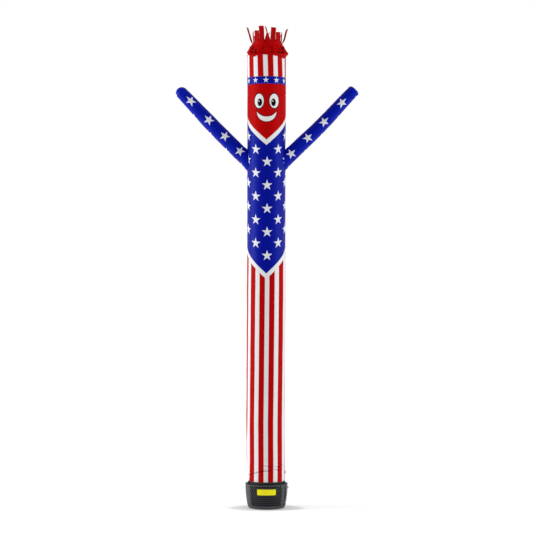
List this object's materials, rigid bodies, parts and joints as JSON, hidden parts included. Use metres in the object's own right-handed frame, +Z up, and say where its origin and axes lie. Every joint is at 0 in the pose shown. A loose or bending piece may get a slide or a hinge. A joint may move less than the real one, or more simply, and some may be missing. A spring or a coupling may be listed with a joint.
{
  "type": "inflatable air dancer on a fan blower",
  "caption": "Tall sewn nylon tube figure with two raised sleeves and a crown of hair strips, its mouth strapped over the outlet collar of a perforated fan blower.",
  "frame": {"origin": "centre of the blower's flat bottom", "axes": "+Z up along the tube, -Y the side the face looks to, +X the sleeve that shows on the right"},
  "size_m": [2.3104, 0.5439, 6.079],
  "materials": {
    "striped_nylon": "thin woven nylon, white with upright red stripes",
    "white_nylon": "thin woven nylon, soft sheen",
    "blue_nylon": "thin woven nylon, royal blue with white stars",
    "red_nylon": "thin woven nylon, deep red",
    "webbing": "black woven strap",
    "blower_steel": "black coated perforated sheet, satin",
    "black_plastic": "black moulded plastic",
    "badge_yellow": "plain yellow plate, satin"
  },
  "bodies": {
    "root": {"leg_tube": "striped_nylon", "hem_border": "white_nylon", "torso": "blue_nylon", "collar_border": "white_nylon", "head_panel": "red_nylon", "hat_band": "blue_nylon", "hat_panel": "striped_nylon", "crown": "red_nylon", "hair": "red_nylon", "arm_left": "blue_nylon", "arm_right": "blue_nylon", "base_strap": "webbing", "strap_clip_left": "black_plastic", "strap_clip_right": "black_plastic", "blower_housing": "blower_steel", "outlet_collar": "black_plastic", "blower_badge": "badge_yellow", "blower_knob": "black_plastic", "cord_inlet": "black_plastic"}
  },
  "joints": []
}
